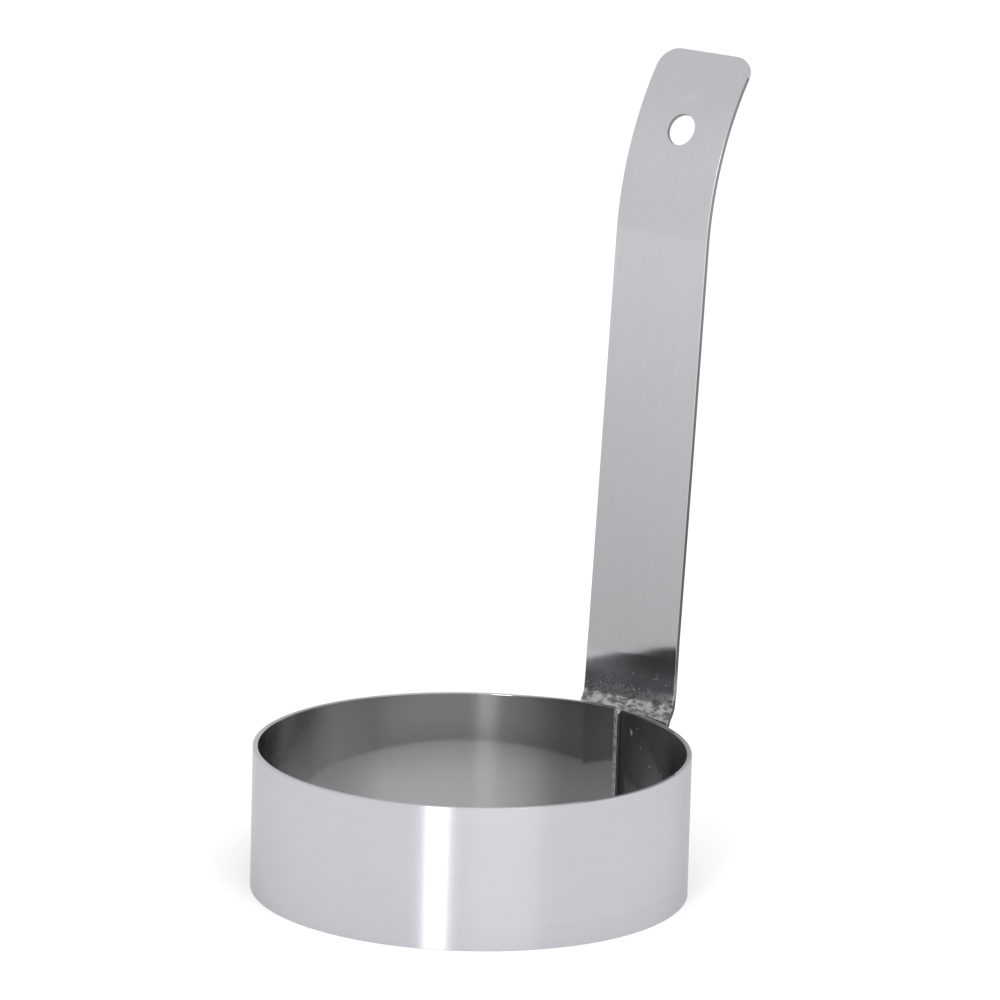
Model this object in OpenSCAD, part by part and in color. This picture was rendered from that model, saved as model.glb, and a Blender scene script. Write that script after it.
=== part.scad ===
// Egg ring with an upright strap handle, in millimetres.
// +Z up, the ring's axis is Z and its base rim stands on z = 0.
// The origin is the centre of the ring in the plane of its base rim.
// +Y is square to the flat of the handle, which stands at the back of the ring.

/* [Ring] */
// outside diameter of the rolled ring
ring_diameter = 100; // [80:1:140]
// height of the strip the ring is rolled from
ring_height = 33; // [20:1:60]
// thickness of the ring's strip
strip_thickness = 1.2; // [0.8:0.1:2]

/* [Seam] */
// distance of the inner layer's end from the ring's middle plane
seam_x = 4.8; // [0:0.1:10]
// length over which the strip's two ends lie on each other
lap_length = 10; // [6:0.5:20]
// gap left between the two lapped layers
layer_gap = 0.05; // [0.02:0.01:0.2]
// how far the lap is pressed in from the round where it is flat
lap_press = 0.15; // [0.1:0.05:0.5]
// how much more than the strip's thickness the outer half is rolled larger in radius
lap_swell = 0.4; // [0.3:0.1:1]
// how much higher the inner layer's end stands than the rest of the rim
end_rise = 1; // [0.2:0.1:2]
// distance before the middle plane at which that rise starts
rise_start = 22; // [15:1:35]
// rounding of the corners of the strip's two ends
end_corner = 1.5; // [0.5:0.1:4]

/* [Handle] */
// width of the handle's strap
handle_width = 26; // [15:0.5:40]
// thickness of the handle's strap
handle_thickness = 1.2; // [0.8:0.1:2]
// sideways place of the handle's middle line against the seam
handle_offset = 0; // [-5:0.1:5]
// height of the handle's highest edge above the table
handle_height = 185.5; // [120:0.5:260]
// outward lean of the handle's straight run, in degrees
handle_lean = 3.8; // [0:0.1:10]
// height at which the outward curl starts
curl_start = 143.3; // [90:0.5:220]
// radius of the outward curl, measured at mid thickness
curl_radius = 73.5; // [40:0.5:120]
// rounding of the handle's two top corners
top_corner = 6.5; // [2:0.5:12]

/* [Foot] */
// height of the flap's lower edge above the table
flap_bottom = 4; // [1:0.5:15]
// rounding of the flap's two lower corners
flap_corner = 4; // [1:0.5:10]
// how far the foot steps back from the handle's face to the ring's wall
joggle_depth = 1.5; // [0.5:0.1:4]
// distance of the step's lower bend below the rim
joggle_below_rim = 1.4; // [0:0.1:6]
// radius of the step's lower bend, at mid thickness
joggle_low_radius = 3; // [1.5:0.1:8]
// radius of the step's upper bend, at mid thickness
joggle_high_radius = 4.6; // [1.5:0.1:8]
// distance below the rim up to which the flap's sides are wrapped onto the round wall
wrap_below_rim = 7; // [1:0.5:10]
// height of the foot above the rim, up to where the shank is plain and straight
foot_above_rim = 12; // [10:0.5:16]

/* [Hang hole] */
// diameter of the hang hole
hole_diameter = 7.4; // [4:0.1:14]
// height of the hang hole's middle above the table
hole_height = 168.5; // [110:0.5:240]

/* [Spot welds] */
// number of spot welds through the lap and the flap
weld_count = 3; // [2:1:5]
// diameter of a weld nugget
weld_diameter = 4.2; // [2:0.1:5]
// distance of the weld row from the inner layer's end
weld_edge = 4.4; // [2:0.1:8]
// clear distance of the outer welds from the ring's rims
weld_margin = 8; // [4:0.5:12]
// play between a nugget and its pocket
weld_play = 0.03; // [0:0.01:0.1]
// depth of the electrode's mark on the back of the flap
mark_depth = 0.15; // [0.05:0.05:0.4]
// diameter of the electrode's mark
mark_diameter = 5.5; // [3:0.5:8]

/* [Hidden] */

$fn = 180;
t = strip_thickness;
ht = handle_thickness;
far = ring_diameter;

// faces of the pressed flat: outside of the inner layer, then both faces of the outer layer
ring_r = ring_diameter / 2;
press_y = ring_r - lap_press;
lap_y0 = press_y + layer_gap;
lap_y1 = lap_y0 + t;
lap_end_x = seam_x - lap_length;

// the outer layer lies on a larger circle that touches the ring's own circle at its side
lap_drift = t + lap_swell;
drift_r = ring_r + lap_drift;

// the inner layer's end climbs by this slope
run_x = rise_start + 4;
rise_slope = atan(end_rise / (rise_start + seam_x));
climb_c = cos(rise_slope);
climb_s = sin(rise_slope);
climb_len = (rise_start + seam_x) / climb_c;
climb_h = ring_height * climb_c;

// handle profile, a chain of straights and bends at mid thickness
handle_x = seam_x + handle_offset;
flap_y = lap_y1 + ht / 2;
step_z = ring_height - joggle_below_rim;
step_r = joggle_low_radius + joggle_high_radius;
step_cos = (joggle_low_radius + joggle_high_radius * cos(handle_lean) - joggle_depth) / step_r;
step_a = acos(step_cos);
low_cy = flap_y + joggle_low_radius;
high_cy = low_cy - step_r * cos(step_a);
high_cz = step_z + step_r * sin(step_a);
shank_y = high_cy + joggle_high_radius * cos(handle_lean);
shank_z = high_cz - joggle_high_radius * sin(handle_lean);
curl_y0 = shank_y + (curl_start - shank_z) * tan(handle_lean);
curl_cy = curl_y0 + curl_radius * cos(handle_lean);
curl_cz = curl_start - curl_radius * sin(handle_lean);
curl_end = asin((handle_height - curl_cz) / (curl_radius + ht / 2));
hole_a = asin((hole_height - curl_cz) / curl_radius);
hole_y = curl_cy - curl_radius * cos(hole_a);
step_n = 8;
curl_n = 26;

// the wrapped foot: its joint with the shank, and the depth of the blocks that shape it
foot_z = ring_height + foot_above_rim;
foot_y = shank_y + (foot_z - shank_z) * tan(handle_lean);
foot_front = ring_r - 12;
wrap_z = ring_height - wrap_below_rim;
low_front = joggle_low_radius + ht / 2;

// weld row, each nugget reaching from mid inner layer to mid flap
weld_x = seam_x - weld_edge;
weld_y0 = press_y - t / 2;
weld_y = (weld_y0 + flap_y) / 2;
weld_half = (flap_y - weld_y0) / 2;
weld_ball = (pow(weld_diameter / 2, 2) + pow(weld_half, 2)) / (2 * weld_half);
weld_pitch = (ring_height - 2 * weld_margin) / (weld_count - 1);
mark_ball = (pow(mark_diameter / 2, 2) + pow(mark_depth, 2)) / (2 * mark_depth);

// a point at mid thickness plus e, on an arc about (y, z) at angle a from the horizontal
function arc_out(y, z, r, a, e) = [y - (r + e) * cos(a), z + (r + e) * sin(a)];
function arc_in(y, z, r, a, e) = [y + (r - e) * cos(a), z - (r - e) * sin(a)];

// the face of the leaning shank where the foot ends, e towards the ring
function foot_top(e) = [foot_y - e / cos(handle_lean), foot_z];

// one face of the foot, from the flap's lower edge through both bends of the step
function foot_face(e) = concat(
    [[flap_y - e, flap_bottom]],
    [for (i = [0 : step_n])
        arc_out(low_cy, step_z, joggle_low_radius, step_a * i / step_n, e)],
    [for (i = [0 : step_n])
        arc_in(high_cy, high_cz, joggle_high_radius,
            step_a + (handle_lean - step_a) * i / step_n, e)],
    [foot_top(e)]
);

// one face of the handle above the foot, through the curl to the top
function shank_face(e) = concat(
    [foot_top(e)],
    [for (i = [0 : curl_n])
        arc_out(curl_cy, curl_cz, curl_radius,
            handle_lean + (curl_end - handle_lean) * i / curl_n, e)]
);

// half section of the round wall under the flap, flared by the step's slope, e from its front
function flare(e) = concat(
    [[0, flap_bottom], [drift_r + e, flap_bottom]],
    [for (i = [0 : step_n])
        [drift_r + low_front - (low_front - e) * cos(step_a * i / step_n),
            wrap_z + (low_front - e) * sin(step_a * i / step_n)]],
    [[drift_r + low_front - (low_front - e) * cos(step_a)
            + (foot_z - wrap_z - (low_front - e) * sin(step_a)) * tan(step_a), foot_z],
        [0, foot_z]]
);
function turned(v) = [for (i = [len(v) - 1 : -1 : 0]) v[i]];

// round block whose back is cut flat at y1
module flat_backed(cx, r, y1) {
    intersection() {
        translate([cx, 0])
            circle(r = r);
        translate([-far, -far])
            square([2 * far, far + y1]);
    }
}

// plan of the round wall, up to where the two ends start
module round_plan() {
    difference() {
        circle(r = ring_r);
        circle(r = ring_r - t);
        translate([-run_x, 0])
            square([far + run_x, far]);
    }
}

// plan of the run that ends in the outer layer of the lap
module outer_plan() {
    intersection() {
        difference() {
            flat_backed(-lap_drift, drift_r, lap_y1);
            flat_backed(-lap_drift, drift_r - t, lap_y0);
        }
        translate([lap_end_x, 0])
            square([far, far]);
    }
}

// plan of the inner layer's run
module inner_plan() {
    intersection() {
        difference() {
            flat_backed(0, ring_r, press_y);
            flat_backed(0, ring_r - t, press_y - t);
        }
        translate([-run_x, ring_r / 2])
            square([run_x + seam_x + 3, far]);
    }
}

// side view of the inner layer's run, with the climb and a square end
module inner_side() {
    polygon([
        [-run_x - 5, 0],
        [-rise_start, 0],
        [climb_len * climb_c - rise_start, climb_len * climb_s],
        [climb_len * climb_c - climb_h * climb_s - rise_start,
            climb_len * climb_s + climb_h * climb_c],
        [-rise_start, ring_height],
        [-run_x - 5, ring_height]
    ]);
}

// what is cut away to round a corner at the origin, material towards -x and -z
module corner_cut(r, depth) {
    difference() {
        translate([-r, -depth / 2, -r])
            cube([r + 5, depth, r + 5]);
        translate([-r, 0, -r])
            rotate([90, 0, 0])
                cylinder(r = r, h = depth + 2, center = true);
    }
}

module inner_run() {
    difference() {
        intersection() {
            translate([0, 0, -5])
                linear_extrude(height = ring_height + 10)
                    inner_plan();
            translate([0, far, 0])
                rotate([90, 0, 0])
                    linear_extrude(height = far)
                        inner_side();
        }
        translate([-rise_start, press_y, 0])
            rotate([0, -rise_slope, 0])
                translate([climb_len, 0, climb_h])
                    corner_cut(end_corner, 8);
        translate([-rise_start, press_y, 0])
            rotate([0, -rise_slope, 0])
                translate([climb_len, 0, 0])
                    mirror([0, 0, 1])
                        corner_cut(end_corner, 8);
    }
}

module outer_run() {
    difference() {
        linear_extrude(height = ring_height)
            outer_plan();
        for (m = [0, 1])
            translate([lap_end_x, lap_y1, m * ring_height])
                mirror([1, 0, 0])
                    mirror([0, 0, 1 - m])
                        corner_cut(end_corner, 2.3 * t);
    }
}

// lens of one weld nugget, its axis along Y
module nugget(play) {
    intersection() {
        translate([0, weld_ball - weld_half, 0])
            sphere(r = weld_ball + play);
        translate([0, weld_half - weld_ball, 0])
            sphere(r = weld_ball + play);
    }
}

module weld_row(play) {
    for (i = [0 : weld_count - 1])
        translate([weld_x, weld_y, weld_margin + i * weld_pitch])
            nugget(play);
}

module ring_band() {
    color("LightSteelBlue")
        difference() {
            union() {
                linear_extrude(height = ring_height)
                    round_plan();
                outer_run();
                inner_run();
            }
            weld_row(weld_play);
        }
}

// across the handle's full width, from a side view
module full_width() {
    translate([handle_x - handle_width / 2, 0, 0])
        rotate([90, 0, 90])
            linear_extrude(height = handle_width)
                children();
}

// the former that the foot is pressed over, e thicker than the ring's wall
module foot_former(e) {
    intersection() {
        full_width()
            polygon(concat([[foot_front, flap_bottom]], foot_face(ht / 2 - e), [[foot_front, foot_z]]));
        translate([-lap_drift, 0, 0])
            rotate_extrude()
                polygon(flare(e));
    }
}

module handle_blank() {
    full_width()
        polygon(concat(shank_face(ht / 2), turned(shank_face(-ht / 2))));
    difference() {
        foot_former(ht);
        foot_former(0);
    }
}

module handle_strap() {
    color("Silver")
        difference() {
            handle_blank();
            // hang hole, square to the strap where it is
            translate([handle_x, hole_y, hole_height])
                rotate([90 - hole_a, 0, 0])
                    cylinder(d = hole_diameter, h = 6 * ht, center = true);
            // top corners, cut square to the strap at its upper edge
            for (m = [0, 1])
                translate([handle_x, curl_cy, curl_cz])
                    rotate([-curl_end, 0, 0])
                        mirror([m, 0, 0])
                            translate([handle_width / 2, -curl_radius, 0])
                                corner_cut(top_corner, 8 * ht);
            // lower corners of the flap
            for (m = [0, 1])
                translate([handle_x, flap_y, flap_bottom])
                    mirror([m, 0, 0])
                        mirror([0, 0, 1])
                            translate([handle_width / 2, 0, 0])
                                corner_cut(flap_corner, 16);
            weld_row(weld_play);
            // electrode marks on the back of the flap
            for (i = [0 : weld_count - 1])
                translate([weld_x, flap_y + ht / 2 - mark_depth + mark_ball, weld_margin + i * weld_pitch])
                    sphere(r = mark_ball);
        }
}

module spot_welds() {
    color("DimGray")
        weld_row(0);
}

ring_band();
handle_strap();
spot_welds();
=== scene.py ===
# Egg ring with an upright strap handle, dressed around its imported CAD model, in metres.
# Frame: +Z up, the ring's axis is Z and its base rim stands on z = 0.
# The handle stands at the back, at +Y.

import math

import bmesh
import bpy
from mathutils import Matrix, Vector


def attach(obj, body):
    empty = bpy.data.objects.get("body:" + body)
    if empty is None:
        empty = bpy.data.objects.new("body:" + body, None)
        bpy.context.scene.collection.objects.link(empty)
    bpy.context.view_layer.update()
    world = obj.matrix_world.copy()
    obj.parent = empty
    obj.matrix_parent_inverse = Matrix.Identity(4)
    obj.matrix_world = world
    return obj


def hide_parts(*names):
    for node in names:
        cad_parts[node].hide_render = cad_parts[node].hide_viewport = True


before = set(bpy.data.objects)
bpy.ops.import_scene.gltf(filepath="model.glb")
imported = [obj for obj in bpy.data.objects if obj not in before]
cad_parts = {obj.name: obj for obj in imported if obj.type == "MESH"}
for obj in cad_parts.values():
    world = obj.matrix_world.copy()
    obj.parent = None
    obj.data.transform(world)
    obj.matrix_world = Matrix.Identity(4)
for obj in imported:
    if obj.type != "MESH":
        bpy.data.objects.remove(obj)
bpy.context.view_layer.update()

# Ring band: one strip of cold-rolled stainless steel, brushed along its length and rolled up.
# Its two ends are pressed flat and lapped at the back, the left end inside the right one,
# and the inner end climbs a little above the rim, as the strip was not rolled quite square.
MM = 0.001
ring_radius = 50 * MM
ring_height = 33 * MM
strip_thickness = 1.2 * MM
arris = 0.13 * MM
end_arris = 0.09 * MM
flat_inner_y = 49.75 * MM
lap_front_y = 51.1 * MM
inner_end_x = 4.8 * MM
outer_end_x = -5.2 * MM
drift = 1.6 * MM
crease_radius = 12 * MM
end_corner = 1.5 * MM
climb = 1.0 * MM
climb_start_x = -22 * MM
climb_curve = 1.2

mid_radius = ring_radius - strip_thickness / 2
inner_line_y = flat_inner_y - strip_thickness / 2
outer_line_y = lap_front_y - strip_thickness / 2
drift_radius = mid_radius + drift

long_run_steps = 264
short_run_steps = 82
crease_steps = 8
corner_steps = 7


def only(geom, kind):
    """The vertices, or the edges, in what an operator gave back."""
    return [part for part in geom if isinstance(part, kind)]


def edges_and_verts(faces):
    """The edges and vertices of some faces, each once and in the same order on every run."""
    edges = dict.fromkeys(e for f in faces for e in f.edges)
    verts = dict.fromkeys(v for f in faces for v in f.verts)
    return [*edges, *verts]


def swept(bm, loop, angle, centre, steps):
    """Rolls the strip's open end on along an arc in plan and returns its new end."""
    rolled = bmesh.ops.spin(
        bm, geom=loop, cent=(*centre, 0), axis=(0, 0, 1), angle=angle, steps=steps,
        use_merge=False, use_normal_flip=False, use_duplicate=False,
    )
    return rolled["geom_last"]


def pushed(bm, loop, dx, height=1.0):
    """Runs the strip's open end straight on along X, made lower by a share of its height."""
    longer = bmesh.ops.extrude_edge_only(bm, edges=only(loop, bmesh.types.BMEdge))
    verts = only(longer["geom"], bmesh.types.BMVert)
    bmesh.ops.translate(bm, verts=verts, vec=(dx, 0, 0))
    middle = Matrix.Translation((0, 0, -ring_height / 2))
    bmesh.ops.scale(bm, verts=verts, vec=(1, 1, height), space=middle)
    return longer["geom"]


def squared_end(bm, loop, way):
    """The strip's last stretch: its two corners are rounded and its end is closed."""
    height = ring_height
    for i in range(corner_steps):
        start, stop = (math.radians(90 * k / corner_steps) for k in (i, i + 1))
        lower = ring_height - 2 * end_corner * (1 - math.cos(stop))
        dx = end_corner * (math.sin(stop) - math.sin(start))
        loop = pushed(bm, loop, way * dx, lower / height)
        height = lower
    edges = only(loop, bmesh.types.BMEdge)
    bmesh.ops.contextual_create(bm, geom=edges)
    return edges


# the strip's section at the +X side, with its arrises rounded, left as an open loop
bm = bmesh.new()
corners = [
    bm.verts.new((mid_radius + side * strip_thickness / 2, 0, top * ring_height))
    for side, top in ((-1, 0), (1, 0), (1, 1), (-1, 1))
]
bm.faces.new(corners)
bmesh.ops.bevel(
    bm, geom=corners, offset=arris, segments=3, profile=0.5, affect="VERTICES", material=-1
)
section = bm.faces[:]
loop = edges_and_verts(section)
bmesh.ops.delete(bm, geom=section, context="FACES_ONLY")

# clockwise from the +X side to the inner end of the lap
inner_turn = math.asin((inner_line_y - crease_radius) / (mid_radius - crease_radius))
crease_1 = (
    (crease_radius - mid_radius) * math.cos(inner_turn),
    inner_line_y - crease_radius,
)
end = swept(bm, loop, -(math.pi + inner_turn), (0, 0), long_run_steps)
end = swept(bm, end, -(math.pi / 2 - inner_turn), crease_1, crease_steps)
end = pushed(bm, end, inner_end_x - end_corner - crease_1[0])
inner_cap = squared_end(bm, end, 1)
run = inner_end_x - climb_start_x
for v in bm.verts:
    if v.co.y > 0 and climb_start_x < v.co.x < 2 * inner_end_x:
        v.co.z += climb * ((v.co.x - climb_start_x) / run) ** climb_curve

# counter-clockwise from the +X side to the outer end, on a slightly larger circle
outer_turn = math.asin((outer_line_y - crease_radius) / (drift_radius - crease_radius))
crease_2 = (
    (drift_radius - crease_radius) * math.cos(outer_turn) - drift,
    outer_line_y - crease_radius,
)
end = swept(bm, loop, outer_turn, (-drift, 0), short_run_steps)
end = swept(bm, end, math.pi / 2 - outer_turn, crease_2, crease_steps)
end = pushed(bm, end, outer_end_x + end_corner - crease_2[0])
outer_cap = squared_end(bm, end, -1)
bmesh.ops.bevel(
    bm, geom=inner_cap + outer_cap, offset=end_arris, segments=2, profile=0.5,
    affect="EDGES", clamp_overlap=True, material=-1,
)


class Wire:
    """One socket of a finish's node tree. Sums and products of wires add Math nodes to the tree."""

    def __init__(self, tree, socket=None):
        self.tree = tree
        self.socket = socket

    def node(self, kind, settings=(), values=(), out=0):
        """Adds a node: its type, its settings, the values or wires of its inputs,
        and which output to give back."""
        made = self.tree.nodes.new("ShaderNode" + kind)
        for name, value in dict(settings).items():
            setattr(made, name, value)
        for name, value in dict(values).items():
            if isinstance(value, Wire):
                self.tree.links.new(value.socket, made.inputs[name])
            else:
                made.inputs[name].default_value = value
        return Wire(self.tree, made.outputs[out])

    def math(self, operation, *terms):
        return self.node("Math", {"operation": operation}, dict(enumerate(terms)))

    def __add__(self, other):
        return self.math("ADD", self, other)

    def __radd__(self, other):
        return self.math("ADD", other, self)

    def __sub__(self, other):
        return self.math("SUBTRACT", self, other)

    def __rsub__(self, other):
        return self.math("SUBTRACT", other, self)

    def __mul__(self, other):
        return self.math("MULTIPLY", self, other)

    def __rmul__(self, other):
        return self.math("MULTIPLY", other, self)

    def step(self, low, high):
        """0 below low, 1 above high, and smooth between."""
        span = {"interpolation_type": "SMOOTHSTEP"}
        return self.node("MapRange", span, {"Value": self, "From Min": low, "From Max": high})

    def vector_math(self, operation, other=None, out=0):
        """A vector wire on its own, or with another vector."""
        terms = {0: self} if other is None else {0: self, 1: other}
        return self.node("VectorMath", {"operation": operation}, terms, out)

    def axis(self, name):
        """The X, Y or Z of a vector wire."""
        return self.node("SeparateXYZ", (), {"Vector": self}, name)

    def noise(self, scale, detail=2.0, rough=0.5):
        """Noise of 0 to 1 on a vector wire, in patches per metre."""
        grain = {"Vector": self, "Scale": scale, "Detail": detail, "Roughness": rough}
        return self.node("TexNoise", (), grain)

    def stretched(self, x, y, z):
        """A vector wire scaled along each axis."""
        return self.vector_math("MULTIPLY", (x, y, z))


def new_finish(name):
    """A material with an empty Principled shader."""
    material = bpy.data.materials.new(name)
    material.use_nodes = True
    return material, material.node_tree.nodes["Principled BSDF"]


def wear_finish(obj, material):
    """Gives an object this material alone."""
    obj.data.materials.clear()
    obj.data.materials.append(material)


def feed(shader, socket, wire):
    """Links a wire to a shader's input."""
    wire.tree.links.new(wire.socket, shader.inputs[socket])


# the grain that all the steel shares: its patches per metre, how far each darkens or
# roughens the strip, and the mirror of the lands between the brush's grooves
streak_width = 6
cloud_scale, smudge_scale, speck_scale = 45.0, 160.0, 2600.0
speck_size = (0.72, 0.76)
plain_shade = 0.99
line_shade, streak_shade, cloud_shade, speck_shade = 0.05, 0.08, 0.05, 0.08
line_rough, smudge_rough, speck_rough = 0.03, 0.05, 0.08
edge_tint = (0.75, 0.75, 0.75)
brush_turn = 0.25
groove_bump = 0.1
groove_depth = 0.000005
land_colour = (0.93, 0.93, 0.95)
land_rough = 0.05


def steel_finish(
    name, tint, dull, rough, brush, anisotropy, rougher, dark_share, polished=None, leans=None
):
    """Stainless strip: brush gives the scale of the fine lines along x, y and z.
    rougher(coords) is added to its roughness, and the function after it says where its colour goes
    from tint to dull: wear, and on the ring and the handle painted shade and light.
    polished(coords) says where the lands between its grooves still mirror, and leans how the
    grooves' and the lands' faces lean."""
    material, steel = new_finish(name)
    steel.inputs["Metallic"].default_value = 1.0
    steel.inputs["Specular Tint"].default_value = (*edge_tint, 1)
    steel.inputs["Anisotropic"].default_value = anisotropy
    steel.inputs["Anisotropic Rotation"].default_value = brush_turn

    coords = Wire(material.node_tree).node("TexCoord", out="Object")
    lines = coords.stretched(*brush).noise(1.0, 3.0, 0.6)
    streaks = coords.stretched(*(scale / streak_width for scale in brush)).noise(1.0, 4.0, 0.6)
    cloud = coords.noise(cloud_scale, 3.0)
    smudge = coords.noise(smudge_scale, 4.0, 0.65)
    specks = coords.noise(speck_scale, 1.0).step(*speck_size)

    blend = {"Factor": dark_share(coords), "A": (*tint, 1), "B": (*dull, 1)}
    colour = coords.node("Mix", {"data_type": "RGBA"}, blend, out=2)
    shade = (
        plain_shade + (lines - 0.5) * line_shade + (streaks - 0.5) * streak_shade
        + (cloud - 0.5) * cloud_shade - specks * speck_shade
    )
    shaded = coords.node("VectorMath", {"operation": "SCALE"}, {0: colour, "Scale": shade})
    feed(steel, "Base Color", shaded)
    roughness = (
        rough + (smudge - 0.5) * smudge_rough + (lines - 0.5) * line_rough
        + specks * speck_rough + rougher(coords)
    )
    feed(steel, "Roughness", roughness)
    bump = {"Strength": groove_bump, "Distance": groove_depth, "Height": lines}
    if polished is None:
        feed(steel, "Normal", coords.node("Bump", (), bump))
        return material

    facing = coords.node("NewGeometry", out="Normal")
    groove_face, land_face = (
        facing.vector_math("ADD", lean(coords)).vector_math("NORMALIZE") for lean in leans
    )
    feed(steel, "Normal", coords.node("Bump", (), {**bump, "Normal": groove_face}))
    lands = {
        "Base Color": (*land_colour, 1),
        "Metallic": 1.0,
        "Roughness": land_rough,
        "Normal": land_face,
    }
    mirror = coords.node("BsdfPrincipled", (), lands)
    grooves = Wire(coords.tree, steel.outputs[0])
    both = coords.node("MixShader", (), {0: polished(coords), 1: grooves, 2: mirror})
    feed(material.node_tree.nodes["Material Output"], "Surface", both)
    return material


# where the inner wall's painted shade, mirror and lean change: the X of its far left, of the
# pressed flat and of its far right, and how far from the seam the deepest painted shade reaches
far_left = (-48.5 * MM, -43 * MM)
flat_start = (-6 * MM, -4 * MM)
far_right = (15 * MM, 32 * MM)
seam_zone_x = -1 * MM
seam_zone_reach = (8 * MM, 30 * MM)
past_end = (inner_end_x + 0.01 * MM, inner_end_x + 0.04 * MM)
wiped_strip = (inner_end_x - 1.1 * MM, inner_end_x - 0.8 * MM)
cut_end = (inner_end_x - 0.1 * MM, inner_end_x - 0.05 * MM)

# how far the inner wall's grooves face to -X and -Y, and its lands upward, in radians
groove_tilt = (0.060, 0.038)
land_tilt = 0.025
land_tilt_on_flat = 0.011


def brushed_wall(coords):
    """1 on the strip's outer face, which is brushed, and 0 on the inner one,
    which kept its mill polish."""
    x, y = coords.axis("X"), coords.axis("Y")
    outer_half = x.step(inner_end_x - 0.1 * MM, inner_end_x) * y.step(0, 1 * MM)
    beside = outer_half * drift
    square = (x + beside) * (x + beside) + y * y
    radius = square.math("SQRT", square) - beside
    return radius.step(mid_radius - 0.1 * MM, mid_radius + 0.1 * MM)


def toward_side(coords, low, high):
    """0 where X is below low, 1 where it is above high."""
    return coords.axis("X").step(low, high)


def near_seam(coords):
    """1 around the seam, where the inner wall's painted shade is deepest and its lands mirror less,
    0 away from it.
    """
    x, y = coords.axis("X"), coords.axis("Y")
    away = x.math("ABSOLUTE", x - seam_zone_x).step(*seam_zone_reach)
    return (1 - away) * y.step(0, 20 * MM)


def past_inner_end(coords):
    """1 on what lies to the right of the inner layer's end, 0 on that end and left of it."""
    return toward_side(coords, *past_end)


def end_face(coords):
    """1 on the inner layer's end and the strip beside it, the shear's pitted edge, which are left
    out of the inner wall's painted shade."""
    pits = coords.noise(1500.0, 2.0).step(0.40, 0.50)
    beside = toward_side(coords, *wiped_strip) * (0.35 + pits * 0.65)
    end = toward_side(coords, *cut_end)
    wiped = beside.math("MAXIMUM", beside * 0.55, end) * (1 - past_inner_end(coords))
    return wiped * coords.axis("Y").step(45 * MM, 46 * MM)


def right_of_seam(coords):
    """1 on the inner wall to the right of the inner layer's end, which is kept darkest, dull and
    without mirror: painted shade for the dark wall it reflects."""
    return past_inner_end(coords) * coords.axis("Y").step(10 * MM, 30 * MM)


def light_specks(coords):
    """1 on a few small specks that are left lighter in the painted shade right of the seam."""
    return coords.stretched(1000, 1000, 420).noise(1.0, 1.0).step(0.74, 0.77)


def pressed_flat(coords):
    """1 on the flat of the lap, 0 on the round wall."""
    return toward_side(coords, *flat_start) * coords.axis("Y").step(40 * MM, 45 * MM)


def groove_lean(coords):
    """The round inner wall faces about 4 degrees more to -X and -Y, as on a ring that is
    a little out of true. The brushed face and the pressed flat are as modelled."""
    along = (1 - brushed_wall(coords)) * (1 - pressed_flat(coords))
    return coords.node(
        "CombineXYZ", (), {"X": along * -groove_tilt[0], "Y": along * -groove_tilt[1]}
    )


def land_lean(coords):
    """The inner wall leans out at its top, less so on the pressed flat."""
    tilt = land_tilt - pressed_flat(coords) * (land_tilt - land_tilt_on_flat)
    up = (1 - brushed_wall(coords)) * tilt
    return coords.node("CombineXYZ", (), {"Z": up})


def ring_rougher(coords):
    """The brushed face, the sheared end and the wall right of the seam are rougher."""
    return brushed_wall(coords) * 0.04 + end_face(coords) * 0.2 + right_of_seam(coords) * 0.1


def ring_painted_shade(coords):
    """Painted shade: only the inner wall is darkened, standing in for the ring's shaded inside;
    least at its far left, most around the seam. The inner end and the strip beside it, a few specks
    and the far right of the seam are darkened less."""
    shade = 0.53 + toward_side(coords, *far_left) * 0.24 + near_seam(coords) * 0.23
    bright = light_specks(coords) * 0.8 + toward_side(coords, *far_right) * 0.2
    inner = (1 - brushed_wall(coords)) * shade
    return inner - end_face(coords) - right_of_seam(coords) * bright


def ring_polished(coords):
    """The inner wall's lands mirror least at its far left, around the seam and right of it."""
    seam_closeness = near_seam(coords)
    share = 0.08 + toward_side(coords, *far_left) * 0.27 - seam_closeness * seam_closeness * 0.19
    lost = 0.12 + toward_side(coords, *far_right) * 0.12
    inner = (1 - brushed_wall(coords)) * share
    return inner - end_face(coords) * 0.3 - right_of_seam(coords) * lost


# ring_steel's dull colour is the tone of the inner wall's painted shade; its tint is the steel's
# own tone.
ring_steel = steel_finish(
    "ring_steel",
    tint=(0.55, 0.555, 0.583), dull=(0.05, 0.046, 0.045), rough=0.25,
    brush=(30, 30, 9000), anisotropy=1.0,
    rougher=ring_rougher, dark_share=ring_painted_shade, polished=ring_polished,
    leans=(groove_lean, land_lean),
)

smooth_angle = math.radians(12)


def finished_piece(name, bm, material, slot, *nodes):
    """Closes a bmesh into a piece that rides on the root body and stands for its CAD nodes."""
    bmesh.ops.recalc_face_normals(bm, faces=bm.faces[:])
    mesh = bpy.data.meshes.new(name)
    bm.to_mesh(mesh)
    bm.free()
    mesh.shade_smooth()
    mesh.set_sharp_from_angle(angle=smooth_angle)
    piece = bpy.data.objects.new(name, mesh)
    bpy.context.scene.collection.objects.link(piece)
    wear_finish(piece, material)
    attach(piece, "root")
    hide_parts(*nodes)


finished_piece("rolled_ring_band", bm, ring_steel, "ring_steel", "ring_band")

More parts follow.
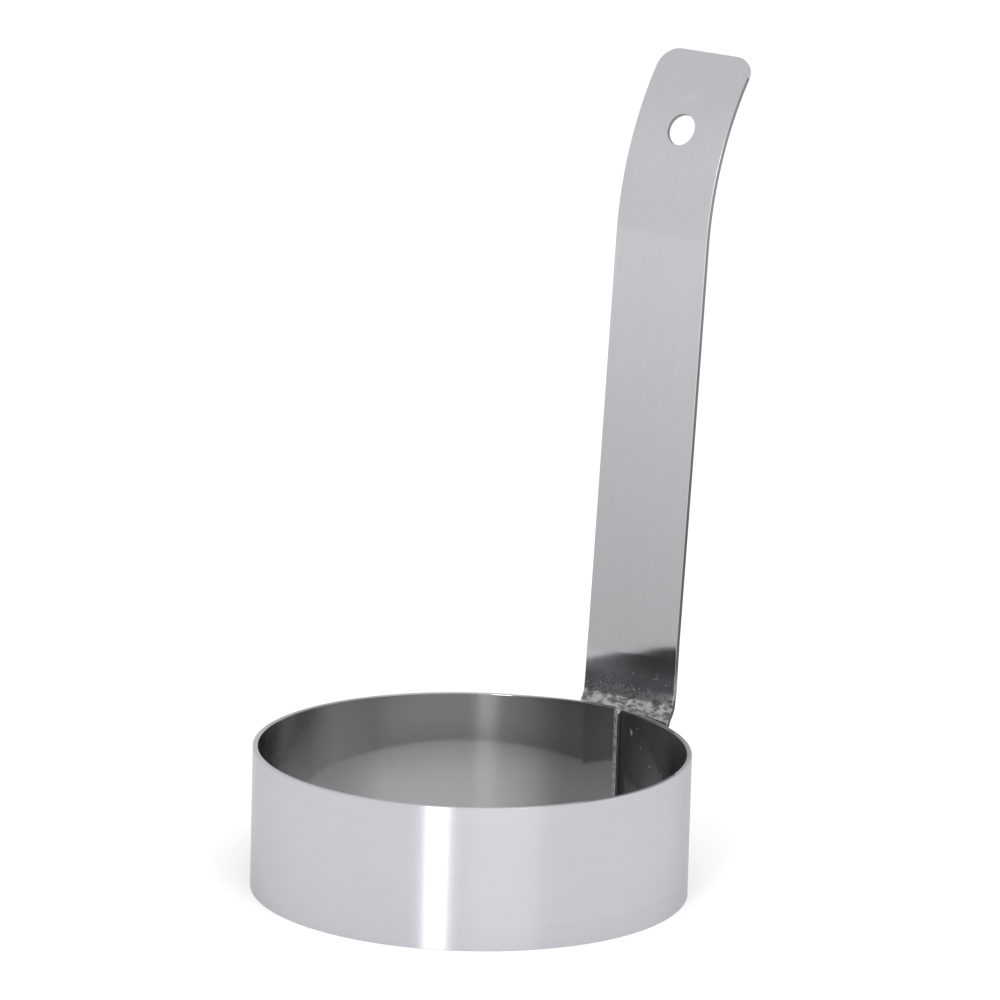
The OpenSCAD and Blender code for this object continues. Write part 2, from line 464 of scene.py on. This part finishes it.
# Strap handle: one blank of the same steel, rounded at its corners and punched while flat, then
# bent: a joggle brings its foot back against the ring's wall, and its top curls outward.
# The flap below the joggle lies on the outside of the lap and is spot welded through it.
handle_width = 26 * MM
handle_thickness = 1.2 * MM
handle_arris = 0.16 * MM
handle_x = inner_end_x
handle_top = 185.5 * MM
flap_bottom = 4 * MM
flap_corner = 4 * MM
top_corner = 5.0 * MM
lean = math.radians(3.8)
step_z = 31.6 * MM
step_depth = 1.5 * MM
low_radius = 3 * MM
high_radius = 4.6 * MM
curl_start = 143.3 * MM
curl_radius = 73.5 * MM
hole_radius = 3.7 * MM
hole_z = 168.5 * MM
wrap_z = 26 * MM
wrap_bend = 3.6 * MM
wrap_soft = 1.5 * MM
foot_z = 47 * MM
columns_top_z = 60 * MM
# heights, and how far the wrap's strain moves the strap's middle back at each
twist = ((33 * MM, 0), (39 * MM, 0.07 * MM), (51 * MM, -0.07 * MM), (100 * MM, 0))
twist_slope, twist_middle, twist_kink = 1.1, 1.075, 0.275
kink_steepness, kink_shift = 4, 0.4
weld_x = 0.4 * MM
weld_heights = (8 * MM, 16.5 * MM, 25 * MM)
mark_radius = 2.75 * MM
mark_depth = 0.15 * MM
mark_field = 3 * MM

half = handle_width / 2
flap_y = lap_front_y + handle_thickness / 2
flap_length = step_z - flap_bottom
step_turn = math.acos(
    (low_radius + high_radius * math.cos(lean) - step_depth) / (low_radius + high_radius)
)
low_centre = Vector((flap_y + low_radius, step_z))
high_centre = low_centre + (low_radius + high_radius) * Vector(
    (-math.cos(step_turn), math.sin(step_turn))
)
shank = high_centre + high_radius * Vector((math.cos(lean), -math.sin(lean)))
curl_foot = Vector((shank.x + (curl_start - shank.y) * math.tan(lean), curl_start))
curl_centre = curl_foot + curl_radius * Vector((math.cos(lean), -math.sin(lean)))
curl_end = math.asin((handle_top - curl_centre.y) / (curl_radius + handle_thickness / 2))
hole_turn = math.asin((hole_z - curl_centre.y) / curl_radius)

# lengths along the flat blank, from the flap's lower edge
wrap_along = wrap_z - flap_bottom - 1 * MM
low_end = flap_length + low_radius * step_turn
high_end = low_end + high_radius * (step_turn - lean)
foot_along = foot_z - flap_bottom
columns_along = columns_top_z - flap_bottom
shank_end = high_end + (curl_start - shank.y) / math.cos(lean)
blank_length = shank_end + curl_radius * (curl_end - lean)
hole_along = shank_end + curl_radius * (hole_turn - lean)


def on_strap(along, out):
    """The point (y, z) of the bent strap at a length along the blank, out from its middle
    towards its back."""
    if along < flap_length:
        return flap_y + out, flap_bottom + along
    if along < low_end:
        a = (along - step_z + flap_bottom) / low_radius
        spot = low_centre + (low_radius - out) * Vector((-math.cos(a), math.sin(a)))
    elif along < high_end:
        a = step_turn - (along - low_end) / high_radius
        spot = high_centre + (high_radius + out) * Vector((math.cos(a), -math.sin(a)))
    elif along < shank_end:
        up = Vector((math.sin(lean), math.cos(lean)))
        back = Vector((math.cos(lean), -math.sin(lean)))
        spot = shank + (along - high_end) * up + out * back
    else:
        a = lean + (along - shank_end) / curl_radius
        spot = curl_centre + (curl_radius - out) * Vector((-math.cos(a), math.sin(a)))
    return spot.x, spot.y


def wrapped(x, y, z, out):
    """The foot's sides are pressed forward onto the round wall, and run back to the shank
    above its rim."""
    rise = max(z - wrap_z, 0)
    bend = min(math.asin(min(rise / wrap_bend, 1)), step_turn)
    straight = rise - wrap_bend * math.sin(bend)
    flare = wrap_bend * (1 - math.cos(bend)) + straight * math.tan(bend)
    wall = math.sqrt((ring_radius + drift + flare) ** 2 - (x + drift) ** 2)
    gap = wall + handle_thickness / 2 + out - y
    soft = min(0.8 * flare, wrap_soft)
    return y - 0.5 * (math.hypot(gap, soft) - gap)


def twisted(z):
    """How far the wrap's strain moves the strap's middle back at a height."""
    for (z0, y0), (z1, y1) in zip(twist, twist[1:]):
        if z0 <= z < z1:
            return y0 + (y1 - y0) * (z - z0) / (z1 - z0)
    return 0.0


def twist_share(across):
    """The share of that strain across the strap: most at its right side, and a little
    the other way at its left."""
    kink = twist_kink * math.tanh(kink_steepness * across / half - kink_shift)
    return twist_slope * across / half + twist_middle + kink


def spread(start, stop, count):
    """Evenly spaced places, both ends among them."""
    return [start + (stop - start) * i / count for i in range(count + 1)]


ACROSS, ALONG = 0, 1


def slice_blank(bm, cuts, axis, wanted=None):
    """Cuts the blank at each place across or along it, so that it bends there."""
    for cut in cuts:
        faces = bm.faces[:] if wanted is None else [f for f in bm.faces if wanted(f)]
        geom = faces + edges_and_verts(faces)
        place = Vector((0, 0, 0))
        place[axis] = cut
        normal = Vector((0, 0, 0))
        normal[axis] = 1
        bmesh.ops.bisect_plane(bm, geom=geom, dist=1e-7, plane_co=place, plane_no=normal)


# the flat blank: sheared to length, its corners rounded, its hole punched, its arrises broken
bm = bmesh.new()
sides = ((-half, 0), (half, 0), (half, blank_length), (-half, blank_length))
outline = [bm.verts.new((x, along, 0)) for x, along in sides]
bm.faces.new(outline)
for pair, corner in ((outline[:2], flap_corner), (outline[2:], top_corner)):
    bmesh.ops.bevel(
        bm, geom=pair, offset=corner, segments=12, profile=0.5, affect="VERTICES", material=-1
    )
bmesh.ops.delete(bm, geom=bm.faces[:], context="FACES_ONLY")
punch = Matrix.Translation((0, hole_along, 0))
bmesh.ops.create_circle(bm, cap_ends=False, radius=hole_radius, segments=56, matrix=punch)
bmesh.ops.triangle_fill(bm, use_beauty=True, use_dissolve=False, edges=bm.edges[:])
bmesh.ops.recalc_face_normals(bm, faces=bm.faces[:])
grown = bmesh.ops.extrude_face_region(bm, geom=bm.faces[:])
raised = only(grown["geom"], bmesh.types.BMVert)
bmesh.ops.translate(bm, verts=raised, vec=(0, 0, handle_thickness))
bmesh.ops.translate(bm, verts=bm.verts[:], vec=(0, 0, -handle_thickness / 2))
bmesh.ops.recalc_face_normals(bm, faces=bm.faces[:])
square_edge = math.radians(60)
arrises = [e for e in bm.edges if len(e.link_faces) == 2 and e.calc_face_angle() > square_edge]
bmesh.ops.bevel(
    bm, geom=arrises, offset=handle_arris, segments=2, profile=0.5, affect="EDGES", material=-1
)

# rows where it bends, as stretches of the blank with their number of rows,
# and columns where the foot wraps onto the ring
stretches = (
    (wrap_along, flap_length, 4),
    (flap_length, low_end, 8),
    (low_end, high_end, 8),
    (high_end, foot_along, 12),
    (foot_along, columns_along, 6),
    (columns_along, shank_end, 12),
    (shank_end, blank_length, 44),
)
rows = [wrap_along]
for start, stop, count in stretches:
    rows += spread(start, stop, count)[1:]
slice_blank(bm, rows[:-1], ALONG)
columns = spread(-half, half, 40)[1:-1]
slice_blank(bm, columns, ACROSS, lambda face: face.calc_center_median().y < columns_along)

# the fill's slanted edges go, as they would show as dashes once the foot is bent
hair = 1e-6
on_face = 0.5 * handle_thickness - hair
slanted = []
for e in bm.edges:
    run = e.verts[1].co - e.verts[0].co
    flat = all(abs(v.co.z) > on_face for v in e.verts)
    between_rows = all(
        wrap_along - 0.01 * MM < v.co.y < shank_end + 0.01 * MM for v in e.verts
    )
    if flat and between_rows and min(abs(run.x), abs(run.y)) > hair:
        slanted.append(e)
bmesh.ops.dissolve_edges(bm, edges=slanted, use_verts=True, use_face_split=False)


def back_of_flap(face):
    """Whether a face of the blank is on the side that the electrode pressed."""
    return face.normal.z > 0.9 and face.calc_center_median().y < flap_length


# the electrode's round marks on the back of the flap
mark_x = weld_x - handle_x
slice_blank(bm, spread(mark_x - mark_field, mark_x + mark_field, 16), ACROSS, back_of_flap)
for height in weld_heights:
    middle = height - flap_bottom
    slice_blank(bm, spread(middle - mark_field, middle + mark_field, 16), ALONG, back_of_flap)
ball = (mark_radius**2 + mark_depth**2) / (2 * mark_depth)
for v in bm.verts:
    if v.co.z > on_face:
        for height in weld_heights:
            off = math.hypot(v.co.x + handle_x - weld_x, v.co.y - height + flap_bottom)
            if off < mark_radius:
                v.co.z -= math.sqrt(ball**2 - off**2) - (ball - mark_depth)

# the bending: the flat blank's x, length and thickness become the strap's place
for v in bm.verts:
    x = v.co.x + handle_x
    out = v.co.z
    y, z = on_strap(v.co.y, out)
    y += twisted(z) * twist_share(v.co.x)
    if z < foot_z:
        y = wrapped(x, y, z, out)
    v.co = (x, y, z)

# the strap's finish: heights between which it changes, three of them spans where painted shade is
# laid on the shank and curl or taken off at the foot, and the places of its hole and buffing
scuff_top = (33 * MM, 42 * MM)
scuff_bottom = (26 * MM, 31 * MM)
pitted_foot = (40 * MM, 46 * MM)
foot_unshaded_span = (40 * MM, 47 * MM)
shank_roughens = (60 * MM, 110 * MM)
shank_shade_span = (30 * MM, 190 * MM)
curl_shade_span = (160 * MM, 182 * MM)

hole_centre = (handle_x, *on_strap(hole_along, 0))
hole_axis = (0, -math.cos(hole_turn), math.sin(hole_turn))
buff_centre = (handle_x + 1.8 * MM, *on_strap(hole_along + 5 * MM, -handle_thickness / 2))
buff_radii = (2.7 * MM, 3.5 * MM, 4.3 * MM)


def sheared(coords):
    """1 on the strap's sheared sides and in its punched hole, where the metal is torn and dull."""
    off = coords.axis("X") - handle_x
    side = off.math("ABSOLUTE", off).step(half - 0.03 * MM, half - 0.01 * MM)
    from_centre = coords.vector_math("SUBTRACT", hole_centre)
    from_axis = from_centre.vector_math("CROSS_PRODUCT", hole_axis)
    distance = from_axis.vector_math("LENGTH", out="Value")
    hole = 1 - distance.step(hole_radius + 0.02 * MM, hole_radius + 0.08 * MM)
    return side.math("MAXIMUM", side, hole)


def below(coords, low, high):
    """1 below a height on the handle, 0 above the next."""
    return 1 - coords.axis("Z").step(low, high)


def scuffed(coords):
    """The step was pressed over a block: dark flecks and rubbed spots around it,
    fewer on the back and almost none on the flap."""
    flecks = coords.stretched(420, 420, 800).noise(1.0, 6.0, 0.7)
    ragged = (below(coords, *scuff_top) + (flecks - 0.5) * 1.6).step(0.35, 0.75)
    back = coords.node("NewGeometry", out="Normal").axis("Y").step(-0.2, 0.2)
    kept = (1 - below(coords, *scuff_bottom) * 0.95) * (1 - back * 0.7)
    return ragged * (0.35 + flecks.step(0.42, 0.58) * 0.65) * kept


def straw_ring(coords):
    """1 around the electrode's marks, where the weld's heating left a dull ring."""
    x, z = coords.axis("X") - weld_x, coords.axis("Z")
    near = 0
    for height in weld_heights:
        off = x * x + (z - height) * (z - height)
        off = off.math("SQRT", off)
        outside = off.step(1.1 * mark_radius, 1.6 * mark_radius)
        near = near + off.step(0.5 * mark_radius, mark_radius) * (1 - outside)
    return near


def buffed(coords):
    """Faint arcs above the hang hole, where a buffing wheel touched."""
    off = coords.vector_math("SUBTRACT", buff_centre)
    far = off.vector_math("LENGTH", out="Value")
    arcs = 0
    for radius in buff_radii:
        arcs = arcs + (1 - far.math("ABSOLUTE", far - radius).step(0.05 * MM, 0.22 * MM))
    left, upper = 1 - off.axis("X").step(-0.8 * MM, 0.4 * MM), off.axis("Z").step(0.2 * MM, 1 * MM)
    return arcs * left * upper


def handle_rougher(coords):
    """Torn and scuffed steel is rougher, the foot is pitted, and the shank roughens upward."""
    pits = coords.noise(2800.0, 2.0).step(0.66, 0.74)
    foot = below(coords, *pitted_foot) * (0.05 + pits * 0.3)
    upward = (1 - below(coords, *shank_roughens)) * 0.13
    return sheared(coords) * 0.2 + scuffed(coords) * 0.25 + foot + upward


def handle_wear_and_painted_light(coords):
    """Torn and scuffed steel, and the rings around the weld marks, are dull. Painted shade darkens
    the shank toward its foot and the curled top a little, and is mostly taken off again at the foot
    itself, which is left brighter."""
    worn = sheared(coords) * 0.6 + scuffed(coords) * 0.85 + straw_ring(coords) * 0.4
    painted_foot_shade = below(coords, *shank_shade_span) * 0.50
    foot = below(coords, *foot_unshaded_span) * 0.4
    top = (1 - below(coords, *curl_shade_span)) * 0.12
    return worn + painted_foot_shade - buffed(coords) * 0.1 - foot + top


# handle_steel's dull colour serves both its wear and its painted shade.
handle_steel = steel_finish(
    "handle_steel",
    tint=(0.56, 0.565, 0.59), dull=(0.1, 0.095, 0.095), rough=0.07,
    brush=(2500, 300, 120), anisotropy=0.0,
    rougher=handle_rougher, dark_share=handle_wear_and_painted_light,
)
finished_piece("strap_handle", bm, handle_steel, "handle_steel", "handle_strap")

# Spot welds: lenses of steel fused through the flap and both layers of the lap.
# They lie inside the joint, and only the electrode's marks show from outside.
weld_steel = steel_finish(
    "weld_steel",
    tint=(0.45, 0.45, 0.45), dull=(0.2, 0.19, 0.18), rough=0.45,
    brush=(900, 900, 900), anisotropy=0.0,
    rougher=lambda coords: coords.noise(900.0, 2.0) * 0.1,
    dark_share=lambda coords: coords.noise(600.0, 2.0),
)
wear_finish(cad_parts["spot_welds"], weld_steel)

# Studio: a plain pale floor under soft white light, with the camera at the photograph's angle.
# A narrow softbox makes the bright streak on the band, a wide one fills from its right,
# and an even white world lights the rest.
camera_azimuth = math.radians(37.9)
camera_tilt = math.radians(13.366)
camera_roll = math.radians(1.528)
camera_distance = 1.6
camera_aim = Vector((0.00391, 0.00304, 0.09146))
camera_lens = 254.47
light_aim = Vector((0, 0, 0.06))
paper_white = 0.97
floor_reach = 6


def toward(azimuth, elevation):
    """The direction from the ring to a place at that azimuth and elevation,
    as the camera's angles count."""
    return Vector((
        math.sin(azimuth) * math.cos(elevation),
        -math.cos(azimuth) * math.cos(elevation),
        math.sin(elevation),
    ))


back = toward(camera_azimuth, camera_tilt)
level = Vector((math.cos(camera_azimuth), math.sin(camera_azimuth), 0))
upright = back.cross(level)
across = math.cos(camera_roll) * level + math.sin(camera_roll) * upright
above = math.cos(camera_roll) * upright - math.sin(camera_roll) * level
camera = bpy.data.objects.new("camera", bpy.data.cameras.new("camera"))
camera.data.sensor_width = 36
camera.data.lens = camera_lens
camera.matrix_world = Matrix.Translation(camera_aim + camera_distance * back) @ Matrix(
    (across, above, back)
).transposed().to_4x4()
bpy.context.scene.collection.objects.link(camera)
bpy.context.scene.camera = camera

bm = bmesh.new()
bmesh.ops.create_grid(bm, x_segments=1, y_segments=1, size=floor_reach)
mesh = bpy.data.meshes.new("floor")
bm.to_mesh(mesh)
bm.free()
floor = bpy.data.objects.new("floor", mesh)
bpy.context.scene.collection.objects.link(floor)
paper, sheet = new_finish("floor_paper")
sheet.inputs["Base Color"].default_value = (paper_white, paper_white, paper_white, 1)
sheet.inputs["Roughness"].default_value = 0.9
sheet.inputs["Specular IOR Level"].default_value = 0.0
wear_finish(floor, paper)


def softbox(name, azimuth, elevation, distance, width, height, watts):
    """A rectangular soft light that faces the ring."""
    light = bpy.data.lights.new(name, "AREA")
    light.shape = "RECTANGLE"
    light.size = width
    light.size_y = height
    light.energy = watts
    lamp = bpy.data.objects.new(name, light)
    way = toward(math.radians(azimuth), math.radians(elevation))
    lamp.location = way * distance + light_aim
    lamp.rotation_mode = "QUATERNION"
    lamp.rotation_quaternion = way.to_track_quat("Z", "Y")
    bpy.context.scene.collection.objects.link(lamp)


softbox(
    "front_softbox", azimuth=21.5, elevation=17, distance=1.7, width=0.31, height=1.0, watts=8.5
)
softbox("side_softbox", azimuth=58, elevation=42, distance=4, width=2.4, height=2.4, watts=36)
world = bpy.data.worlds.new("studio")
world.use_nodes = True
sky = world.node_tree.nodes["Background"]
sky.inputs["Color"].default_value = (1, 1, 1, 1)
sky.inputs["Strength"].default_value = 1.0
bpy.context.scene.world = world
bpy.context.scene.view_settings.view_transform = "Standard"
